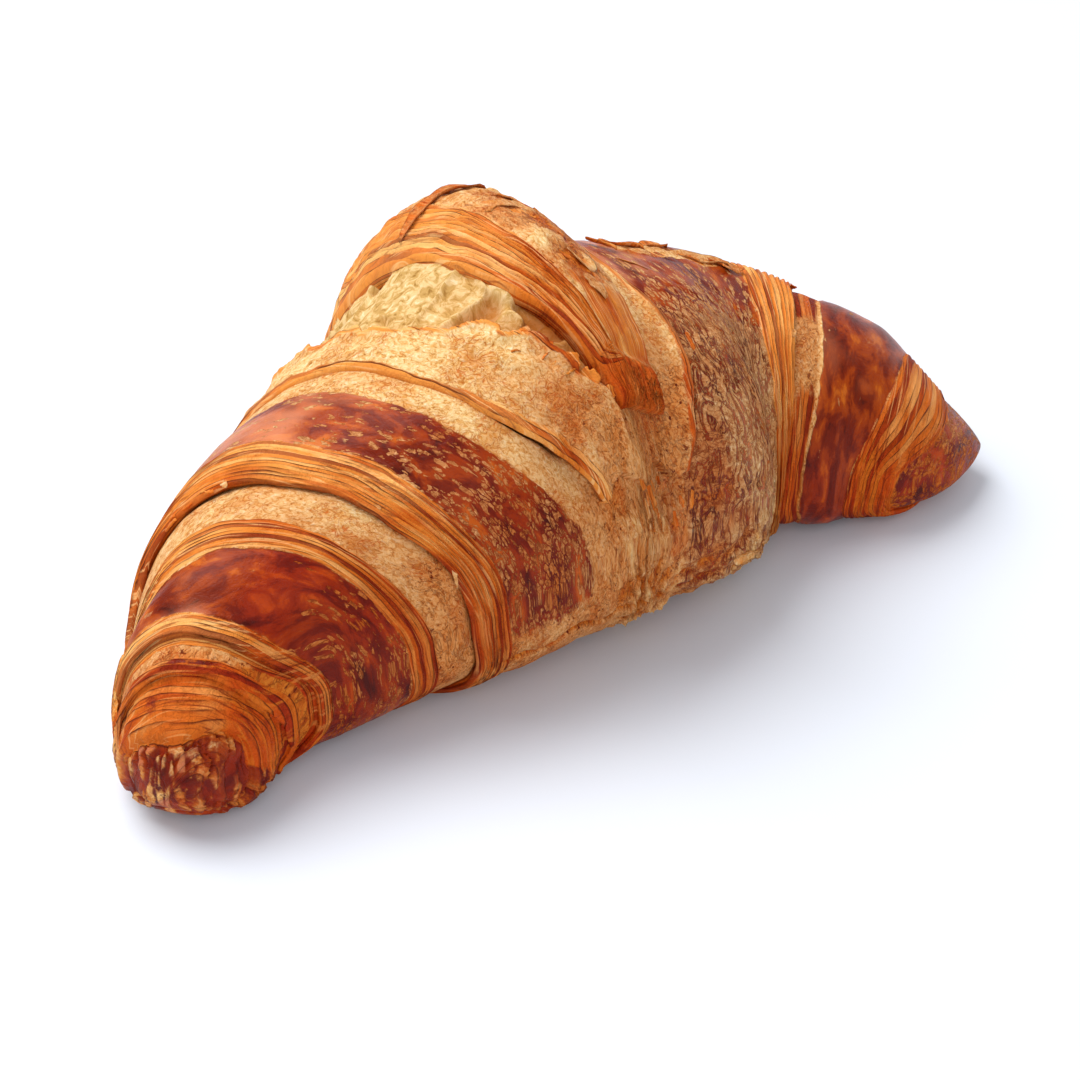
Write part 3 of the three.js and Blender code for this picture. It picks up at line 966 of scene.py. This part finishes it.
def finished(material, tree, base, roughness, height, strength):
    """The shader that every bread surface ends with."""
    grain = add(tree, "Bump", {}, Strength=strength, Distance=0.5 * MM, Height=height)
    normal = grain.outputs["Normal"]
    shader = add(tree, "BsdfPrincipled", {}, Base_Color=base, Roughness=roughness, Normal=normal)
    shader.inputs["IOR"].default_value = BUTTERY_IOR
    shader.inputs["Specular IOR Level"].default_value = DULLED
    add(tree, "OutputMaterial", {}, Surface=shader.outputs["BSDF"])
    return material


def empty_material(name):
    material = bpy.data.materials.new(name)
    material.use_nodes = True
    material.node_tree.nodes.clear()
    return material, material.node_tree


# %% [markdown]
# ## Dry sheltered dough
# Where no egg wash reached, the dough baked to a sandy cream: pale raised fibres, and short orange
# squiggles where a fibre turned brown. Where `toast_and_shade` is high it has cracks, dark brown partly
# from baking and partly as painted shade in their grooves, and brown pores of less than a millimetre.

# %% The colour of dry dough
def dry_dough(tree, toast_and_shade):
    fibres = noise(tree, 0.6, 0.95, 5.0, 0.65, 0.9)
    patches = noise(tree, 5.0, 8.0, 3.0)
    tones = [(0.28, "#a5621f"), (0.41, "#dba25a"), (0.54, "#f0ca8c"), (0.72, "#fbe7bd")]
    dry = ramp(tree, fibres, tones)
    dry = blend(tree, scaled(tree, patches, 0.46, 0.72, 0.0, 0.6), dry, colour("#d4832f"))
    toasted_and_shaded = scaled(tree, toast_and_shade, 0.35, 0.8)
    pores = maths(tree, "MULTIPLY", scaled(tree, noise(tree, 0.8, 1.2, 2.0), 0.37, 0.31), toasted_and_shaded)
    dry = blend(tree, pores, dry, colour("#7c3810"))
    squiggles = thin_lines(tree, noise(tree, 2.2, 2.8, 2.0, 0.5, 2.6), 0.045)
    squiggles = maths(tree, "MULTIPLY", squiggles, scaled(tree, patches, 0.40, 0.62, 0.15, 0.9))
    dry = blend(tree, squiggles, dry, colour("#c96a1e"))
    cracks = thin_lines(tree, noise(tree, 2.4, 3.0, 4.0, 0.6, 1.2), 0.035)
    cracks = maths(tree, "MULTIPLY", cracks, scaled(tree, toast_and_shade, 0.4, 0.8, 0.0, 0.55))
    # Partly painted shade: the cracks are dented and also painted dark brown, as shade in their
    # grooves.
    dry = blend(tree, cracks, dry, colour("#7c3810"))
    shallow, deep = maths(tree, "MULTIPLY", squiggles, 0.25), maths(tree, "MULTIPLY", cracks, 0.6)
    dents = maths(tree, "ADD", shallow, deep)
    return dry, maths(tree, "SUBTRACT", fibres, dents)


# %% [markdown]
# ## Cut layers
# The cut edge of the roll shows its sheets side by side. The count of sheets comes from the model, so
# colour and shape agree: a dark gap between two sheets, partly brown dough and partly painted shade
# in the crevice, and each sheet its own tone from straw to burnt orange, with finer lines inside it.

# %% The colour of cut layers
def cut_layers(tree, ply, toast_and_shade):
    waver = noise(tree, 2.0, 10.0, 3.0)
    phase = maths(tree, "ADD", ply, maths(tree, "MULTIPLY", waver, 0.5))
    inside = maths(tree, "FRACT", phase)
    number = maths(tree, "FLOOR", phase)
    tone = add(tree, "TexWhiteNoise", {"noise_dimensions": "1D"}, W=number).outputs["Value"]
    patchy = noise(tree, 1.6, 14.0, 4.0)
    own, local = maths(tree, "MULTIPLY", tone, 0.42), maths(tree, "MULTIPLY", patchy, 0.72)
    tones = [(0.32, "#9a3804"), (0.47, "#cf620e"), (0.62, "#e78a2c"), (0.80, "#f6bb6c")]
    layers = ramp(tree, maths(tree, "ADD", own, local), tones)
    hair = noise(tree, 0.30, 14.0, 2.0)
    layers = blend(tree, scaled(tree, hair, 0.56, 0.68, 0.0, 0.75), layers, colour("#96400c"))
    layers = blend(tree, scaled(tree, hair, 0.45, 0.33, 0.0, 0.7), layers, colour("#fdca86"))
    layers = blend(tree, scaled(tree, toast_and_shade, 0.40, 0.05, 0.0, 0.2), layers, colour("#fcb86a"))
    gap = ramp(tree, inside, [(0.0, 1.0), (0.07, 0.5), (0.17, 0.0), (0.93, 0.0), (1.0, 1.0)])
    gap = maths(tree, "MULTIPLY", gap, scaled(tree, noise(tree, 1.5, 12.0, 2.0), 0.38, 0.58))
    # Partly painted shade: the dark gap colour fills the crevice between two sheets, where shade falls.
    return blend(tree, gap, layers, colour("#682606")), gap


# %% [markdown]
# ## Baked egg wash
# The wash baked to a glossy red brown that clouds to orange. Where `toast_and_shade` is low, mostly on
# the crown, a paler pinkish colour is mixed in: a painted sheen, where the light behind reflects. While
# the dough swelled the wash cracked into cells and the tan dough showed between; `fleck` says how many
# cells lost their wash, from a few short dashes on the crown to a mosaic on the front.

# %% The colour of the egg wash
def egg_wash(tree, fleck, fibres, toast_and_shade):
    cloud = noise(tree, 3.5, 8.0, 5.0, 0.62, 0.5)
    tones = [(0.32, "#501202"), (0.44, "#7a2502"), (0.55, "#a24204"), (0.68, "#cc6e18")]
    shine = ramp(tree, cloud, tones)
    # Painted sheen: a pale pinkish highlight is mixed into the wash where toast_and_shade is low,
    # mostly on the crown, standing for the reflection of the light behind.
    shine = blend(tree, scaled(tree, toast_and_shade, 0.34, 0.0, 0.0, 0.6), shine, colour("#dd8a62"))
    place = warped(tree, 0.85, 2.4, 1.9)
    cell = add(tree, "TexVoronoi", {"feature": "F1"}, Vector=place, Scale=1.0).outputs["Color"]
    edge = add(tree, "TexVoronoi", {"feature": "DISTANCE_TO_EDGE"}, Vector=place, Scale=1.0)
    edge = edge.outputs["Distance"]
    regional = maths(tree, "MULTIPLY", noise(tree, 4.0, 7.0, 2.0), 0.8)
    chance = maths(tree, "ADD", cell, regional)
    chance = maths(tree, "ADD", chance, maths(tree, "MULTIPLY", fleck, 0.9))
    bare = scaled(tree, chance, 1.27, 1.33)
    rim = maths(tree, "SUBTRACT", 0.15, maths(tree, "MULTIPLY", fleck, 0.12))
    bare = maths(tree, "MULTIPLY", bare, scaled(tree, maths(tree, "SUBTRACT", edge, rim), 0.0, 0.07))
    veins = thin_lines(tree, noise(tree, 1.6, 7.0, 4.0, 0.62, 0.8), 0.055)
    peeled = maths(tree, "SUBTRACT", 1.0, veins)
    torn = scaled(tree, fleck, 0.78, 0.98)
    bare = add(tree, "Mix", {"data_type": "FLOAT"}, _0=torn, _2=bare, _3=peeled).outputs[0]
    tan = ramp(tree, fibres, [(0.32, "#a86636"), (0.50, "#cf9a62"), (0.68, "#e8c494")])
    return blend(tree, bare, shine, tan), bare


# %% [markdown]
# ## The crust as one skin
# The crust is one skin in three states: dry, layered and washed. Noise frays the borders between them,
# and `toast_and_shade` browns each of them: partly real browning where the heat reached it most, and
# partly painted shade on the lower front, in hollows and in creases.

# %% The crust
def baked_crust():
    material, tree = empty_material("egg_washed_crust")
    wash, cut, toast_and_shade = field(tree, "wash"), field(tree, "cut"), field(tree, "toast_and_shade")
    dry, fibres = dry_dough(tree, toast_and_shade)
    layers, gap = cut_layers(tree, field(tree, "ply"), toast_and_shade)
    fleck = field(tree, "fleck")
    shine, bare = egg_wash(tree, fleck, fibres, toast_and_shade)

    fray = maths(tree, "MULTIPLY", maths(tree, "SUBTRACT", noise(tree, 1.3, 4.0, 4.0, 0.65), 0.5), 1.1)
    washed = scaled(tree, maths(tree, "ADD", wash, fray), 0.40, 0.60)
    layered = scaled(tree, maths(tree, "ADD", cut, fray), 0.35, 0.65)
    base = blend(tree, layered, dry, layers)
    base = blend(tree, washed, base, shine)
    # The multiply colour is real browning and also painted shade, as toast_and_shade carries both.
    browned_and_shaded = blend(tree, 1.0, base, colour("#de9140"), "MULTIPLY")
    base = blend(tree, toast_and_shade, base, browned_and_shaded)

    glossy = maths(tree, "MULTIPLY", washed, maths(tree, "SUBTRACT", 1.0, bare))
    roughness = scaled(tree, glossy, 0.0, 1.0, 0.62, 0.30)
    side = scaled(tree, fleck, 0.5, 0.9, -0.45, 0.6)
    dents = maths(tree, "MULTIPLY", maths(tree, "MULTIPLY", washed, bare), side)
    creases = maths(tree, "MULTIPLY", maths(tree, "MULTIPLY", layered, gap), -0.6)
    rough = maths(tree, "MULTIPLY", fibres, scaled(tree, glossy, 0.0, 1.0, 1.0, 0.25))
    height = maths(tree, "ADD", maths(tree, "ADD", dents, creases), rough)
    return finished(material, tree, base, roughness, height, 0.8)


# %% [markdown]
# ## Open crumb
# The crumb never saw the heat directly: it is cream and matt. Painted shade makes it tan in its holes,
# at the front end where it sinks beside the flap and along the torn edge; its swells are a little
# lighter.

# %% The crumb's finish
def open_crumb():
    material, tree = empty_material("open_crumb")
    strings = noise(tree, 1.2, 1.8, 5.0, 0.62, 1.0)
    tones = [(0.30, "#9a6f30"), (0.44, "#c49a58"), (0.58, "#e0bd83"), (0.72, "#f0dab0")]
    base = ramp(tree, strings, tones)
    # Painted shade: on the crumb toast_and_shade marks only where shade falls, and this mix turns it
    # tan there.
    darker = scaled(tree, field(tree, "toast_and_shade"), 0.1, 1.0, 0.0, 0.85)
    base = blend(tree, darker, base, colour("#b5661f"))
    return finished(material, tree, base, 0.75, strings, 0.5)


# %% [markdown]
# ## Putting the croissant together
# The turns are laid from the inside out, each over the last, and they overlap only where none shows.

# %% Making the pieces
crust = baked_crust()
soft = open_crumb()
middle_turn(crust)
blunt_horn(crust)
fine_horn(crust)
pale_turn(crust)
flap(crust)
crumb(soft)
flakes(crust)

# %% [markdown]
# ## Floor, light and camera
# A long lens from the left and above keeps the tips in proportion. The main light is a large soft one
# behind and above, so that the washed bands carry a broad sheen and the front falls into half shade;
# a weaker one in front and a pale sky fill the rest.

# %% The camera
AZIMUTH, ELEVATION, DISTANCE = math.radians(-36.9), math.radians(39.7), 560.0
FOCAL_LENGTH, SENSOR_WIDTH = 105.8, 36.0
AIM = (-2.1, 16.5, 14.4)
level_reach = math.cos(ELEVATION)
across, ahead = math.sin(AZIMUTH) * level_reach, -math.cos(AZIMUTH) * level_reach
toward_camera = Vector((across, ahead, math.sin(ELEVATION)))
chord = Vector((-CENTRE[0], -CENTRE[1], -BAKED_FLAT)) * MM
aim = chord + Vector(AIM) * MM
lens = bpy.data.cameras.new("camera")
lens.lens, lens.sensor_width = FOCAL_LENGTH, SENSOR_WIDTH
camera = bpy.data.objects.new("camera", lens)
camera.location = chord + toward_camera * DISTANCE * MM
camera.rotation_euler = (aim - camera.location).to_track_quat("-Z", "Y").to_euler()
bpy.context.scene.collection.objects.link(camera)
bpy.context.scene.camera = camera

# %% The floor and the light
FLOOR_SIZE = 3.0
SKY_STRENGTH = 0.63


def matt(name, code, roughness):
    material = bpy.data.materials.new(name)
    material.use_nodes = True
    shader = material.node_tree.nodes["Principled BSDF"]
    shader.inputs["Base Color"].default_value = colour(code)
    shader.inputs["Roughness"].default_value = roughness
    return material


floor_mesh = bpy.data.meshes.new("floor")
bm = bmesh.new()
bmesh.ops.create_grid(bm, x_segments=1, y_segments=1, size=FLOOR_SIZE)
bm.to_mesh(floor_mesh)
bm.free()
floor_mesh.materials.append(matt("pale_floor", "#dfe4ec", 0.6))
floor = bpy.data.objects.new("floor", floor_mesh)
bpy.context.scene.collection.objects.link(floor)


def softbox(name, place, size, watts):
    """A square area light that faces the croissant."""
    light = bpy.data.lights.new(name, "AREA")
    light.shape, light.size, light.energy = "SQUARE", size, watts
    lamp = bpy.data.objects.new(name, light)
    lamp.location = Vector(place)
    lamp.rotation_euler = (-lamp.location).to_track_quat("-Z", "Y").to_euler()
    bpy.context.scene.collection.objects.link(lamp)


softbox("key_behind", (-0.25, 0.5, 1.05), 0.9, 14.8)
softbox("fill_front", (-0.5, -1.0, 0.8), 1.0, 5)
sky = bpy.data.worlds.new("studio")
sky.use_nodes = True
sky.node_tree.nodes["Background"].inputs["Color"].default_value = colour("#f0f2f6")
sky.node_tree.nodes["Background"].inputs["Strength"].default_value = SKY_STRENGTH
bpy.context.scene.world = sky
bpy.context.scene.view_settings.view_transform = "Standard"

# %% [markdown]
# ## Measuring
# The looks must stay in the body's own box, so the body's box is printed here.

# %% Sizes
print("cad box mm", [round(v / MM, 1) for v in (*cad_low, *cad_high)])
